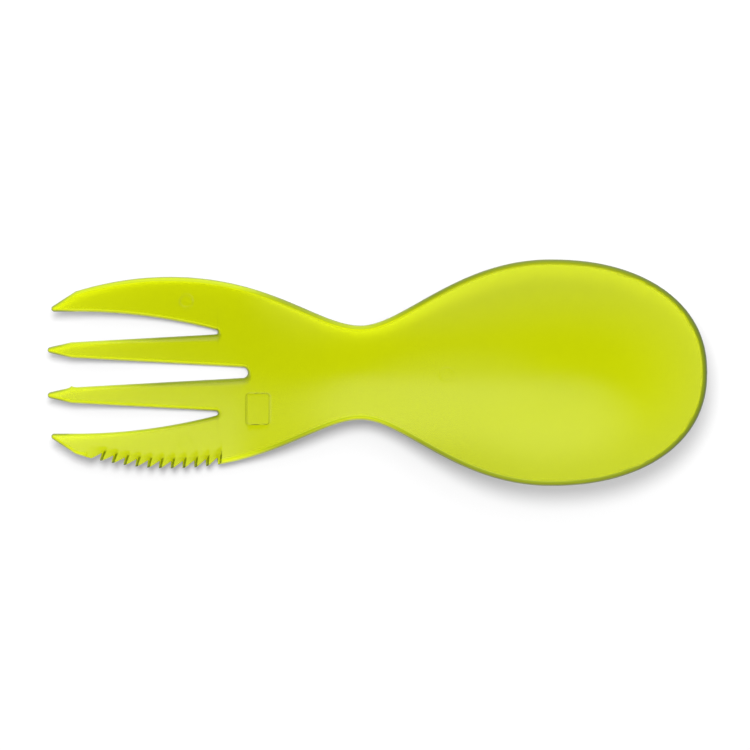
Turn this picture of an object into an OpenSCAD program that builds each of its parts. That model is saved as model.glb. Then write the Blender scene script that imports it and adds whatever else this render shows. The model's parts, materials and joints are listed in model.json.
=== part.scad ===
// A spoon, fork and knife in one moulding: a spoon bowl and a four-tined fork set end to end, joined
// by a narrow waist, with a saw edge along one outer tine. One trough-shaped skin runs through it all.
// +X points to the tip of the bowl, +Y to the plain side of the fork, and +Z up.
// The origin is under the middle of the length, on the surface that the spork rests on.

/* [Spoon bowl] */
// Width of the bowl at its widest point
bowl_width = 48; // [40:0.5:56]
// Length from the widest point of the bowl to its tip
bowl_nose = 33.3; // [26:0.1:42]
// Length from the waist to the widest point of the bowl
bowl_flank = 40.2; // [32:0.1:50]
// Depth of the bowl below its rim
bowl_depth = 11; // [6:0.5:13]

/* [Waist] */
// Width of the waist at its narrowest point
waist_width = 20; // [14:0.5:26]
// Depth of the trough at the waist
waist_depth = 2.5; // [1:0.25:5]
// Height that the waist arches up from the lowest points of the two ends
waist_lift = 4; // [1:0.5:8]

/* [Fork] */
// Width of the fork at its widest point
fork_width = 40.7; // [36:0.1:48]
// Length from the waist to the widest point of the fork
fork_flank = 40.4; // [36:0.1:48]
// Length from the widest point of the fork to the tips of the inner tines
fork_nose = 26.1; // [22:0.1:32]
// Depth of the trough at the widest point of the fork
fork_depth = 3; // [2:0.5:9]
// Radius of the outer side of the outer tines, seen from above
fork_side_radius = 67; // [50:1:120]
// Height that the tips of the inner tines rise above the palm
tine_lift = 3.5; // [1:0.5:10]
// Distance from the waist to the lowest point of the palm
palm_offset = 29; // [20:0.5:34]

/* [Tines and slots] */
// Distance of an inner tine's centre line from the middle of the fork
inner_tine_offset = 4.8; // [4.4:0.1:5.4]
// Width of an inner tine at the root of the outer slot
inner_root_width = 6.7; // [5.6:0.1:7.2]
// Width of an inner tine where its point begins
inner_tip_width = 3.3; // [2.4:0.1:4.4]
// Length of an inner tine's point
inner_point = 5; // [3:0.1:8]
// Distance from the middle of the fork to the straight inner side of an outer tine
outer_tine_offset = 12.95; // [12:0.05:14]
// Length of an outer tine's slanting point
outer_point = 5.1; // [3.5:0.1:7]
// Distance by which the outer tines end short of the inner ones
outer_setback = 0.8; // [0:0.1:3]
// Length of the middle slot, from the tips of the inner tines to its root
middle_slot = 42.5; // [39:0.1:46]
// Length of the outer slots, from the tips of the inner tines to their roots
outer_slot = 36.1; // [32:0.1:38]
// Radius of the root of the outer slots
outer_root_radius = 0.5; // [0.35:0.05:0.7]
// Radius of the rounded tip of every tine
tip_radius = 0.63; // [0.45:0.01:0.8]

/* [Saw edge] */
// Number of saw teeth
teeth = 10; // [4:1:10]
// Distance from one saw tooth to the next
tooth_pitch = 2.51; // [1.8:0.01:2.6]
// Depth of the gaps between the saw teeth
tooth_depth = 1.5; // [0.6:0.05:1.7]
// Distance from the tips of the inner tines to the heel where the saw edge ends
saw_heel = 36.2; // [35:0.1:38]
// Width of the bevel that thins the tine towards the saw teeth
blade_width = 2.4; // [1.9:0.1:3]
// Thickness at the points of the saw teeth
blade_edge = 1.3; // [0.6:0.05:1.5]
// Distance from the line of the points to the inner ends of the grooves between the teeth
groove_reach = 2.6; // [2:0.1:3.2]
// Width of the slanting steep face of a saw tooth, seen from above
tooth_slant = 0.5; // [0.3:0.05:0.8]
// Width of the blunt point of a saw tooth
tooth_point = 0.15; // [0:0.05:0.4]
// Length of plain edge before the first gap of the saw
saw_lead = 0.55; // [0:0.05:1]
// Length over which the bevel begins before the first tooth
bevel_lead = 1.5; // [0.5:0.1:1.6]
// Width of the ledge between the last gap and the wall at the heel of the saw
heel_ledge = 0.3; // [0.1:0.05:0.6]

/* [Wall] */
// Thickness of the skin
wall = 1.8; // [1.4:0.1:2.6]
// Thickness of the tines at their tips
tip_wall = 1.3; // [0.9:0.1:1.8]
// Width of the rounding along the rim, seen from above
edge_round = 1.05; // [0.6:0.05:1.4]
// Width of the rounding along the slots and at the tips, seen from above
slot_round = 0.6; // [0.35:0.05:0.9]
// Width of the small rounding along the underside, seen from above
under_round = 0.3; // [0.1:0.05:0.5]
// Height of the flat land left along every edge
edge_land = 0.3; // [0.2:0.05:0.5]
// Depth of the flats that the spork rests on
rest_cut = 0.25; // [0.1:0.05:0.5]

/* [Hidden] */
lime = "#c4d600";

// Exponent of the superellipse that rounds the bowl's nose, where 2 would be an ellipse
nose_exponent = 2.2;
// Where the two handles of each flank's curve lie, as shares of the flank's length from the waist
bowl_handle_shares = [0.22, 0.51];
fork_handle_shares = [0.22, 0.47];
// Where the waist ends and the bowl and the palm begin, as shares of the flanks' lengths
bowl_seam_share = 0.3;
palm_seam_share = 0.3;
// Run of a saw tooth's steep face, as a share of the pitch
tooth_face_share = 0.12;
// How far the saw teeth lean from the line square to the edge, as a share of their depth
tooth_rake_share = 0.23;
// Distance over which the lean dies out, beyond the teeth and at either end of the saw
rake_fade = 2.5;
// Powers that curve the floor of a groove and the long back of a tooth
groove_floor_power = 3;
tooth_back_power = 1.5;

// Stations along the length
overall_length = bowl_nose + bowl_flank + fork_flank + fork_nose;
x_nose = overall_length / 2;
x_bowl = x_nose - bowl_nose;
x_waist = x_bowl - bowl_flank;
x_fork = x_waist - fork_flank;
x_tips = x_fork - fork_nose;
x_palm = x_waist - palm_offset;
x_bowl_seam = x_waist + bowl_flank * bowl_seam_share;
x_palm_seam = x_waist - fork_flank * palm_seam_share;
x_middle_root = x_tips + middle_slot;
x_outer_root = x_tips + outer_slot;
x_outer_tip = x_tips + outer_setback;
x_saw = x_tips + saw_heel;
x_saw_start = x_saw - (teeth + 1) * tooth_pitch;

// Half widths, and how steeply the trough's parabola rises at each station
bowl_half = bowl_width / 2;
waist_half = waist_width / 2;
fork_half = fork_width / 2;
bowl_curve = bowl_depth / bowl_half ^ 2;
waist_curve = waist_depth / waist_half ^ 2;
fork_curve = fork_depth / fork_half ^ 2;

// Rounded slot roots, each a circle that the slot's sides run into
inner_taper = (inner_root_width - inner_tip_width) / 2 / (outer_slot - outer_root_radius - inner_point);
y_outer_root = inner_tine_offset + inner_root_width / 2 + outer_root_radius;
x_outer_round = x_outer_root - outer_root_radius;
middle_root_radius = (inner_tine_offset - inner_half(x_middle_root)) / (1 - inner_taper);
x_middle_round = x_middle_root - middle_root_radius;

// How finely the surfaces are divided
edge_steps = 4;
bowl_columns = 16;
bowl_rows = 11;
palm_columns = 5;
palm_rows = 8;
waist_rows = 10;
tine_columns = 2;
tine_rows = 9;
solve_rounds = 30;
// Step for measuring a slope, and the least step between two stations
probe = 0.01;
// Widest band of close columns along an edge, as a share of the row's width
band_share = 0.45;
// How far short of a tine's rounded tip its first row lies, as a share of the tip's radius
tip_start_share = 0.05;
// Part of the nose, as a share of its reach, that is surely clear of its edge
nose_core_share = 0.5;

// General helpers
function share(x, from, to) = min(max((x - from) / (to - from), 0), 1);
function smooth(u) = u * u * (3 - 2 * u);
function mix(a, b, u) = a + (b - a) * u;
function even(from, to, steps) = [for (i = [0 : steps]) mix(from, to, i / steps)];
function dense_start(from, to, steps) = [for (i = [0 : steps]) mix(from, to, 1 - cos(90 * i / steps))];
function dense_end(from, to, steps) = [for (i = [0 : steps]) mix(from, to, sin(90 * i / steps))];
function without_last(list) = [for (i = [0 : len(list) - 2]) list[i]];
// The list in rising order, with values that lie within a probe of each other taken as one
function sorted(list) =
    len(list) < 2 ? list
    : let (pivot = list[floor(len(list) / 2)])
      concat(sorted([for (x = list) if (x < pivot - probe) x]), [pivot],
             sorted([for (x = list) if (x > pivot + probe) x]));
function slope(f, x) = (f(x + probe) - f(x - probe)) / (2 * probe);
function stretch(slope) = sqrt(1 + slope ^ 2);
// Distance from a point to the curve y = f(x), taken square to the curve
function gap(f, x, y) = abs(f(x) - y) / stretch(slope(f, x));

// Outline of the body
function bezier(t, handles) =
    3 * handles[0] * t * (1 - t) ^ 2 + 3 * handles[1] * t ^ 2 * (1 - t) + t ^ 3;
// Share of a flank's rise that is reached at a share of its run
function flank_rise(run, handles, low = 0, high = 1, rounds = solve_rounds) =
    let (t = (low + high) / 2)
    rounds < 1 ? smooth(t)
    : bezier(t, handles) < run ? flank_rise(run, handles, t, high, rounds - 1)
    : flank_rise(run, handles, low, t, rounds - 1);
function nose_half(x) =
    bowl_half * max(0, 1 - share(x, x_bowl, x_nose) ^ nose_exponent) ^ (1 / nose_exponent);
function fork_side(x) =
    fork_half - fork_side_radius + sqrt(fork_side_radius ^ 2 - (x - x_fork) ^ 2);
function half_width(x) =
    x >= x_bowl ? nose_half(x)
    : x >= x_waist ? mix(waist_half, bowl_half, flank_rise(share(x, x_waist, x_bowl), bowl_handle_shares))
    : x >= x_fork ? mix(waist_half, fork_half, flank_rise(share(x, x_waist, x_fork), fork_handle_shares))
    : fork_side(x);

// Half width of a point that narrows in a straight line to a rounded tip
function point_slope(length, height) =
    let (run = length - tip_radius)
    tan(atan2(height, run) - asin(tip_radius / norm([run, height])));
function point_half(x, tip, length, height) =
    let (x_round = tip + tip_radius,
         fall = point_slope(length, height),
         x_tangent = x_round - tip_radius * sin(atan(fall)))
    x > x_tangent ? height - fall * (tip + length - x)
    : sqrt(max(0, tip_radius ^ 2 - (x - x_round) ^ 2));

// Sides of the tines on the +Y half of the fork
function inner_half(x) =
    x > x_tips + inner_point ? inner_root_width / 2 + inner_taper * (x - x_outer_round)
    : point_half(x, x_tips, inner_point, inner_tip_width / 2);
function root_half(x, x_round, radius) = sqrt(max(0, radius ^ 2 - (x - x_round) ^ 2));
function inner_low(x) =
    x < x_middle_round ? inner_tine_offset - inner_half(x)
    : root_half(x, x_middle_round, middle_root_radius);
function inner_high(x) =
    x < x_outer_round ? inner_tine_offset + inner_half(x)
    : y_outer_root - root_half(x, x_outer_round, outer_root_radius);
y_outer_tip = outer_tine_offset + tip_radius;
function outer_low(x) =
    x < x_outer_tip + tip_radius ? y_outer_tip - root_half(x, x_outer_tip + tip_radius, tip_radius)
    : x < x_outer_round ? mix(outer_tine_offset, y_outer_root + outer_root_radius,
                              share(x, x_outer_tip + outer_point, x_outer_round) ^ 2)
    : y_outer_root + root_half(x, x_outer_round, outer_root_radius);
function outer_high(x) =
    x > x_outer_tip + outer_point ? half_width(x)
    : y_outer_tip + point_half(x, x_outer_tip, outer_point,
                               fork_side(x_outer_tip + outer_point) - y_outer_tip);

// Depth of the saw cut at x: it deepens towards each steep face and drops back to the next point
function saw_run(x) = (x - x_saw_start + probe / 2) % tooth_pitch - probe / 2;
function saw_cut(x) =
    let (run = max(0, saw_run(x)),
         face = tooth_pitch * tooth_face_share,
         lead = x < x_saw_start + tooth_pitch - probe ? saw_lead : tooth_point)
    x <= x_saw_start || x >= x_saw ? 0
    : tooth_depth * min(max(0, run - lead) / (tooth_pitch - face - lead), (tooth_pitch - run) / face);
function knife_high(x) = outer_high(x) - saw_cut(x);

// Eating surface: a parabola across the trough, whose keel arches up at the waist and at the tips
function keel(x) =
    x >= x_bowl ? bowl_curve * (bowl_half ^ 2 - nose_half(x) ^ 2)
    : x >= x_waist ? waist_lift * smooth(share(x, x_bowl, x_waist))
    : x >= x_palm ? waist_lift * smooth(share(x, x_palm, x_waist))
    : tine_lift * share(x, x_palm, x_tips) ^ 2;
function trough(x) =
    x >= x_waist ? mix(waist_curve, bowl_curve, smooth(share(x, x_waist, x_bowl)))
    : mix(waist_curve, fork_curve, smooth(share(x, x_waist, x_palm)));
function eating_side(x, y) = wall - rest_cut + keel(x) + trough(x) * y ^ 2;
function thickness(x) = mix(tip_wall, wall, share(x, x_tips, x_middle_root));

// Share of the full thickness at a distance from a rounded edge, or from the points of the saw teeth
function rounded(d, width) =
    mix(edge_land / wall, 1, sqrt(1 - (1 - share(d, 0, width)) ^ 2));
// Width of the rounding along the rim, which narrows from the fork's widest point to the tips
function rim_round(x) = mix(slot_round, edge_round, share(x, x_tips, x_fork));
function bevelled(d) = mix(blade_edge / wall, 1, share(d, 0, blade_width));

// How far the underside is lifted at a distance from an edge
function under_lift(d) = under_round * (1 - sqrt(1 - (1 - share(d, 0, under_round)) ^ 2));

// One point of the skin: its place, and the heights of its upper and lower faces. It takes the share of
// the full thickness that is left on the eating side, and the distance from the nearest edge.
function skin(x, y, fullness, d) =
    let (rise = slope(function(v) eating_side(v, y), x),
         lean = 2 * trough(x) * y,
         upright = thickness(x) * sqrt(1 + rise ^ 2 + lean ^ 2),
         under = eating_side(x, y) - upright)
    [x, y, under + fullness * upright, max(0, under + under_lift(d))];

// Places across a row, close together where the two edges are rounded
function across(low, high, low_reach, high_reach, columns) =
    let (width = high - low,
         low_band = min(low_reach, width * band_share),
         high_band = min(high_reach, width * band_share))
    concat(without_last(dense_start(low, low + low_band, edge_steps)),
           without_last(even(low + low_band, high - high_band, columns)),
           dense_end(high - high_band, high, edge_steps));
function reach(f, x, width) = width * stretch(slope(f, x));

// A closed solid between the upper and lower faces of a grid of skin points, whose rows run along +X
// and whose columns run along +Y
module slab(rows) {
    last_row = len(rows) - 1;
    last_column = len(rows[0]) - 1;
    width = last_column + 1;
    below = (last_row + 1) * width;
    upper = [for (row = rows, p = row) [p[0], p[1], p[2]]];
    lower = [for (row = rows, p = row) [p[0], p[1], p[3]]];
    rim = concat([for (i = [0 : last_row]) i * width],
                 [for (j = [1 : last_column]) last_row * width + j],
                 [for (i = [1 : last_row]) (last_row - i) * width + last_column],
                 [for (j = [1 : last_column]) last_column - j]);
    faces = concat(
        [for (i = [0 : last_row - 1], j = [0 : last_column - 1])
            let (a = i * width + j, b = a + width, c = b + 1, d = a + 1)
            each [[a, d, c], [a, c, b],
                  [below + a, below + c, below + d], [below + a, below + b, below + c]]],
        [for (k = [0 : len(rim) - 2])
            let (p = rim[k], q = rim[k + 1])
            each [[p, q, below + q], [p, below + q, below + p]]]);
    polyhedron(concat(upper, lower), faces);
}

// Rows of the bowl and the waist, which run from edge to edge
function body_row(x) =
    let (edge = half_width(x),
         band = reach(function(v) half_width(v), x, edge_round))
    [for (y = across(-edge, edge, band, band, bowl_columns))
        let (d = gap(function(v) half_width(v), x, abs(y)))
        skin(x, y, rounded(d, edge_round), d)];

// Rows of the nose: lines that start straight across the bowl and end along its rounded tip
function superellipse_reach(u, v) =
    (abs(u) ^ nose_exponent + abs(v) ^ nose_exponent) ^ (1 / nose_exponent);
function nose_gap(u, v) =
    let (f = superellipse_reach(u, v),
         steep = [abs(u) ^ (nose_exponent - 1) / bowl_nose, abs(v) ^ (nose_exponent - 1) / bowl_half])
    f < nose_core_share ? edge_round : (1 - f) * f ^ (nose_exponent - 1) / norm(steep);
function nose_point(s, v) =
    let (disc = [s * sqrt(1 - v ^ 2 / 2), v * sqrt(1 - s ^ 2 / 2)],
         f = superellipse_reach(disc[0], disc[1]),
         place = f == 0 ? disc : disc * norm(disc) / f,
         d = max(0, nose_gap(place[0], place[1])))
    skin(x_bowl + bowl_nose * place[0], bowl_half * place[1], rounded(d, edge_round), d);
nose_columns = across(-1, 1, edge_round / bowl_half, edge_round / bowl_half, bowl_columns);
nose_rim = edge_round / bowl_nose;

module spoon_bowl() color(lime)
    slab(concat(
        [for (x = without_last(even(x_bowl_seam, x_bowl, bowl_rows))) body_row(x)],
        [for (s = concat(without_last(even(0, 1 - nose_rim, bowl_rows)),
                         dense_end(1 - nose_rim, 1, edge_steps)))
            [for (v = nose_columns) nose_point(s, v)]]));

module waist() color(lime)
    slab([for (x = even(x_palm_seam, x_bowl_seam, waist_rows)) body_row(x)]);

// Distance from the root of the middle slot or of the outer slot, for points beyond its centre
function middle_root_gap(x, y) = norm([x - x_middle_round, y]) - middle_root_radius;
function outer_root_gap(x, y) = norm([x - x_outer_round, y - y_outer_root]) - outer_root_radius;

// Rows of the palm, with columns gathered round the root of the middle slot
function palm_row(x) =
    let (edge = half_width(x),
         band = reach(function(v) half_width(v), x, edge_round),
         root = slot_round + middle_root_radius,
         upper = concat(without_last(dense_start(0, root, edge_steps)),
                        without_last(even(root, edge - band, palm_columns)),
                        dense_end(edge - band, edge, edge_steps)),
         whole = concat([for (i = [len(upper) - 1 : -1 : 1]) -upper[i]], upper))
    [for (y = whole)
        let (d_rim = gap(function(v) half_width(v), x, abs(y)),
             d_root = max(0, middle_root_gap(x, y)))
        skin(x, y, min(rounded(d_rim, edge_round), rounded(d_root, slot_round)), min(d_rim, d_root))];

module fork_palm() color(lime)
    slab([for (x = concat(without_last(dense_start(x_middle_root, x_middle_root + slot_round, edge_steps)),
                          even(x_middle_root + slot_round, x_palm_seam, palm_rows))) palm_row(x)]);

// Stations along a tine, close together at its tip and round the roots of the slots beside it
function tip_stations(tip, point) =
    concat(dense_start(tip + tip_radius * tip_start_share, tip + tip_radius, edge_steps),
           even(tip + tip_radius, tip + point, edge_steps));
root_stations = concat(
    dense_end(x_outer_round, x_outer_root, edge_steps),
    dense_start(x_outer_root, x_outer_root + slot_round, edge_steps),
    even(x_outer_root + slot_round, x_middle_round, edge_steps),
    dense_end(x_middle_round, x_middle_root, edge_steps));
function tine_stations(tip, point) =
    sorted(concat(tip_stations(tip, point), even(tip + point, x_outer_round, tine_rows), root_stations));

function inner_gap(x, y) =
    min(x > x_middle_round ? middle_root_gap(x, y) : gap(function(v) inner_low(v), x, y),
        x > x_outer_round ? outer_root_gap(x, y) : gap(function(v) inner_high(v), x, y));
function inner_row(x) =
    [for (y = across(inner_low(x), inner_high(x), reach(function(v) inner_low(v), x, slot_round),
                     reach(function(v) inner_high(v), x, slot_round), tine_columns))
        let (d = max(0, inner_gap(x, y)))
        skin(x, y, rounded(d, slot_round), d)];

module inner_tine() color(lime)
    slab([for (x = tine_stations(x_tips, inner_point)) inner_row(x)]);
module upper_inner_tine() inner_tine();
module lower_inner_tine() mirror([0, 1, 0]) inner_tine();

function outer_low_gap(x, y) =
    x > x_outer_round ? outer_root_gap(x, y) : gap(function(v) outer_low(v), x, y);
function outer_row(x) =
    [for (y = across(outer_low(x), outer_high(x), reach(function(v) outer_low(v), x, slot_round),
                     reach(function(v) outer_high(v), x, rim_round(x)), tine_columns))
        let (d_slot = max(0, outer_low_gap(x, y)),
             d_rim = gap(function(v) outer_high(v), x, y))
        skin(x, y, min(rounded(d_slot, slot_round), rounded(d_rim, rim_round(x))), min(d_slot, d_rim))];

module plain_tine() color(lime)
    slab([for (x = tine_stations(x_outer_tip, outer_point)) outer_row(x)]);

// The knife tine mirrors the plain one, with its outer side bevelled and cut into saw teeth by slanting
// grooves. The bevel begins softly and ends at the heel in a steep wall like those of the teeth.
x_heel = x_saw + heel_ledge;
function in_saw(x) =
    min(smooth(share(x, x_saw_start - bevel_lead, x_saw_start)), share(x, x_heel + tooth_slant, x_heel));
// How deep a groove is sunk at x: it falls along the long back of a tooth and climbs its steep face
function groove_share(x) =
    let (run = max(0, saw_run(x)))
    x < x_saw_start + tooth_slant ? 0
    : x > x_saw ? 1
    : max(share(run, tooth_slant, 0), share(run, tooth_slant, tooth_pitch) ^ tooth_back_power);
function groove_floor(d) =
    min(bevelled(d), mix(edge_land / wall, 1, share(d, 0, groove_reach) ^ groove_floor_power));
function blade(x, d) = mix(bevelled(d), groove_floor(d), groove_share(x));
// How far a point of the blade is set along the edge, so that the teeth lean
function tooth_lean(x, d) =
    let (rake = tooth_rake_share + slope(function(v) outer_high(v), x),
         ends = min(share(x, x_saw_start - rake_fade, x_saw_start), share(x, x_saw + rake_fade, x_saw)),
         inward = share(d, groove_reach + rake_fade, groove_reach))
    rake * min(d, groove_reach) * smooth(inward) * smooth(ends);
function knife_row(x) =
    let (edge = knife_high(x),
         side = outer_high(x))
    [for (y = across(outer_low(x), edge, reach(function(v) outer_low(v), x, slot_round),
                     mix(reach(function(v) outer_high(v), x, rim_round(x)),
                         blade_width - (side - edge), in_saw(x)),
                     tine_columns))
        let (d_slot = max(0, outer_low_gap(x, y)),
             d_rim = gap(function(v) outer_high(v), x, y),
             side_share = mix(rounded(d_rim, rim_round(x)), blade(x, d_rim), in_saw(x)),
             d_under = min(d_slot, mix(d_rim, edge_round, in_saw(x))))
        skin(x, y, min(rounded(d_slot, slot_round), side_share), d_under)
            + [tooth_lean(x, d_rim), 0, 0, 0]];
saw_stations = concat(
    [x_saw_start - bevel_lead, x_saw_start - bevel_lead / 2],
    [for (i = [0 : teeth], at = [0, tooth_slant, tooth_pitch * (1 - tooth_face_share)])
        x_saw_start + i * tooth_pitch + at],
    [x_saw, x_heel, x_heel + tooth_slant]);

module knife_tine() color(lime)
    mirror([0, 1, 0])
    slab([for (x = sorted(concat(tine_stations(x_outer_tip, outer_point), saw_stations))) knife_row(x)]);

spoon_bowl();
waist();
fork_palm();
plain_tine();
upper_inner_tine();
lower_inner_tine();
knife_tine();
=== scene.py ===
# %% [markdown]
# # A translucent lime spork
#
# The real thing is one piece of moulded plastic: a spoon bowl at one end, a four-tined fork at the other,
# a narrow waist between them and a saw edge along one outer tine. This lesson builds it as one closed mesh
# from a handful of curves, gives it a see-through plastic, and lights it as a catalogue photograph.
#
# We start by loading the solid model. It fixes the frame: where the object lies, how long and how wide it
# is, and where its regions meet. Everything below is worked out in that frame.

# %% Load the frame
import json
import math

import bmesh
import bpy
import numpy as np
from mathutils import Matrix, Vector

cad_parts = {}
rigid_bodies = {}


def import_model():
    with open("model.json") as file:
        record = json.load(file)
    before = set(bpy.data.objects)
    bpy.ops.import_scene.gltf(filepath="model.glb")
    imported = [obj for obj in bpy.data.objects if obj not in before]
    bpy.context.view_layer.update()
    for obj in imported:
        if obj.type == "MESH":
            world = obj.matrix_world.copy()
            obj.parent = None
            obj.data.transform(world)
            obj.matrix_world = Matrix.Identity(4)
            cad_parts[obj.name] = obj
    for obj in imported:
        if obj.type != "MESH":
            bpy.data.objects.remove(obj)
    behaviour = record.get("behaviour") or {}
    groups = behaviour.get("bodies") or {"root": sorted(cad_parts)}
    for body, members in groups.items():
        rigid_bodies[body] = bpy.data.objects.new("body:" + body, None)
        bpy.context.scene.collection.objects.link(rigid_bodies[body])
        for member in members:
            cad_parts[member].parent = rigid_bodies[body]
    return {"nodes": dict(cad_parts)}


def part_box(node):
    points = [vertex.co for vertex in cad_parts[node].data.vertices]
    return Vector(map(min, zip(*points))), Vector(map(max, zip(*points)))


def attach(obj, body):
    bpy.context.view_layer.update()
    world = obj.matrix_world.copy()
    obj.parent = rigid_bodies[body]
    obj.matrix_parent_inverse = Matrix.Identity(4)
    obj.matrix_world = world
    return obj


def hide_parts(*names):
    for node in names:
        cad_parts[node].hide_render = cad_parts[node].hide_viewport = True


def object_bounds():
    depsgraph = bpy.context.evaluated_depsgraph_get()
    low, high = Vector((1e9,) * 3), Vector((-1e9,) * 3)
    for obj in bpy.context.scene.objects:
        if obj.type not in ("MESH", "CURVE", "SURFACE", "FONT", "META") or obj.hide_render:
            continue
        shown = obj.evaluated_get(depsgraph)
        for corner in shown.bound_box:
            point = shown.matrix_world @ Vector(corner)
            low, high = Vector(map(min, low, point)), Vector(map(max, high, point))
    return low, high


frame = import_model()
cad_low, cad_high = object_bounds()
MM = 0.001
print("solid model, mm:", [round((h - l) / MM, 2) for l, h in zip(cad_low, cad_high)])

# %% [markdown]
# ## The driving sizes
#
# A cutlery maker draws such a piece with few numbers: some stations along the length, the width at each
# of them, and how deep the trough is there. The stations come from the frame. The rest is written here in
# millimetres.

# %% Sizes in millimetres
x_nose = round(cad_high.x / MM, 1)
bowl_half = round(cad_high.y / MM, 1)
x_middle_root = round(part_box("fork_palm")[0].x / MM, 1)
x_tips = -x_nose

bowl_nose, bowl_flank, fork_flank = 33.3, 40.2, 40.4
waist_half, fork_half, fork_side_radius = 10.0, 20.35, 67.0
x_bowl = x_nose - bowl_nose
x_waist = x_bowl - bowl_flank
x_fork = x_waist - fork_flank
x_palm = x_waist - 29.0

bowl_depth, waist_depth, fork_depth = 11.0, 2.5, 3.0
waist_lift, tine_lift = 4.0, 3.5
wall, tip_wall, rest_cut = 1.8, 1.3, 0.25
print("stations, mm:", [round(v, 1) for v in (x_tips, x_fork, x_palm, x_waist, x_bowl, x_nose)])


# %% [markdown]
# ## The outline, seen from above
#
# The outline is symmetric apart from the saw teeth, so one half is enough. The nose of the bowl is a
# superellipse, a little squarer than an ellipse. The two flanks are S-curves that leave the waist flat and
# arrive flat at the widest point, which a cubic curve with two handles does well. The side of the outer
# tines is a plain arc. All of these are functions of x, so every later step can ask for a width anywhere.

# %% Outline of the body
NOSE_EXPONENT = 2.2
BOWL_HANDLE_SHARES = (0.22, 0.51)
FORK_HANDLE_SHARES = (0.22, 0.47)


def share(x, start, end):
    """How far x has come from start to end, from 0 to 1."""
    return np.clip((x - start) / (end - start), 0, 1)


def smooth(u):
    return u * u * (3 - 2 * u)


def mix(a, b, u):
    return a + (b - a) * u


def flank_rise(run, handles):
    """Share of a flank's rise that is reached at a share of its run."""
    t = np.linspace(0, 1, 2001)
    along = 3 * handles[0] * t * (1 - t) ** 2 + 3 * handles[1] * t**2 * (1 - t) + t**3
    return np.interp(run, along, smooth(t))


def nose_half(x):
    return bowl_half * (1 - share(x, x_bowl, x_nose) ** NOSE_EXPONENT) ** (1 / NOSE_EXPONENT)


def fork_side(x):
    return fork_half - fork_side_radius + np.sqrt(fork_side_radius**2 - (x - x_fork) ** 2)


def half_width(x):
    x = np.asarray(x, float)
    towards_bowl = mix(waist_half, bowl_half, flank_rise(share(x, x_waist, x_bowl), BOWL_HANDLE_SHARES))
    towards_fork = mix(waist_half, fork_half, flank_rise(share(x, x_waist, x_fork), FORK_HANDLE_SHARES))
    return np.select(
        [x >= x_bowl, x >= x_waist, x >= x_fork],
        [nose_half(x), towards_bowl, towards_fork],
        fork_side(np.minimum(x, x_waist)),
    )


for name, x in (("bowl", x_bowl), ("waist", x_waist), ("fork", x_fork)):
    print(f"width at the {name}: {2 * half_width(x):.1f} mm")

# %% [markdown]
# ## The tines and the slots between them
#
# Inner tines taper in straight lines, then narrow to a small round tip. The outer tines bend inwards like
# crab claws: an arc outside, a parabola inside, and one slanting cut at the tip. Each slot ends in a round
# root, which on a mould is simply the end of a cutter.

# %% Sides of the tines
inner_tine_offset, inner_root_width, inner_tip_width, inner_point = 4.8, 6.7, 3.3, 5.0
outer_tine_offset, outer_point, outer_setback = 12.95, 5.1, 0.8
outer_slot, outer_root_radius, tip_radius = 36.1, 0.5, 0.63

x_outer_tip = x_tips + outer_setback
x_outer_root = x_tips + outer_slot
x_outer_round = x_outer_root - outer_root_radius
y_outer_root = inner_tine_offset + inner_root_width / 2 + outer_root_radius
y_outer_tip = outer_tine_offset + tip_radius
inner_taper = (inner_root_width - inner_tip_width) / 2 / (x_outer_round - x_tips - inner_point)


def round_half(x, centre, radius):
    return np.sqrt(np.maximum(0, radius**2 - (x - centre) ** 2))


def point_half(x, tip, length, height):
    """Half width of a point that narrows in a straight line to a rounded tip."""
    run = length - tip_radius
    fall = math.tan(math.atan2(height, run) - math.asin(tip_radius / math.hypot(run, height)))
    tangent = tip + tip_radius * (1 - math.sin(math.atan(fall)))
    rounded = round_half(x, tip + tip_radius, tip_radius)
    return np.where(x > tangent, height - fall * (tip + length - x), rounded)


def inner_half(x):
    straight = inner_root_width / 2 + inner_taper * (x - x_outer_round)
    pointed = point_half(x, x_tips, inner_point, inner_tip_width / 2)
    return np.where(x > x_tips + inner_point, straight, pointed)


middle_root_radius = float(inner_tine_offset - inner_half(x_middle_root)) / (1 - inner_taper)
x_middle_round = x_middle_root - middle_root_radius


def inner_low(x):
    slot_side = inner_tine_offset - inner_half(x)
    return np.where(x < x_middle_round, slot_side, round_half(x, x_middle_round, middle_root_radius))


def inner_high(x):
    root_side = y_outer_root - round_half(x, x_outer_round, outer_root_radius)
    return np.where(x < x_outer_round, inner_tine_offset + inner_half(x), root_side)


def outer_low(x):
    tip_side = y_outer_tip - round_half(x, x_outer_tip + tip_radius, tip_radius)
    bend = share(x, x_outer_tip + outer_point, x_outer_round) ** 2
    slot_side = mix(outer_tine_offset, y_outer_root + outer_root_radius, bend)
    root_side = y_outer_root + round_half(x, x_outer_round, outer_root_radius)
    return np.select([x < x_outer_tip + tip_radius, x < x_outer_round], [tip_side, slot_side], root_side)


def outer_high(x):
    shoulder = x_outer_tip + outer_point
    slanting = y_outer_tip + point_half(x, x_outer_tip, outer_point, float(fork_side(shoulder)) - y_outer_tip)
    return np.where(x > shoulder, half_width(x), slanting)


print(f"middle slot {2 * middle_root_radius:.2f} mm wide at its root")

# %% [markdown]
# ## The saw edge
#
# The knife tine mirrors the plain one, but its outer side is bevelled and cut into raked teeth by slanting
# grooves. Each groove has a long gentle back and one steep face, and it runs out on the eating side a
# little way in. In numbers: a saw-tooth wave is taken off the outline, the same wave sinks the bevel, and
# the rows of the mesh lean by the rake, measured from the line square to the curved edge.

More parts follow.
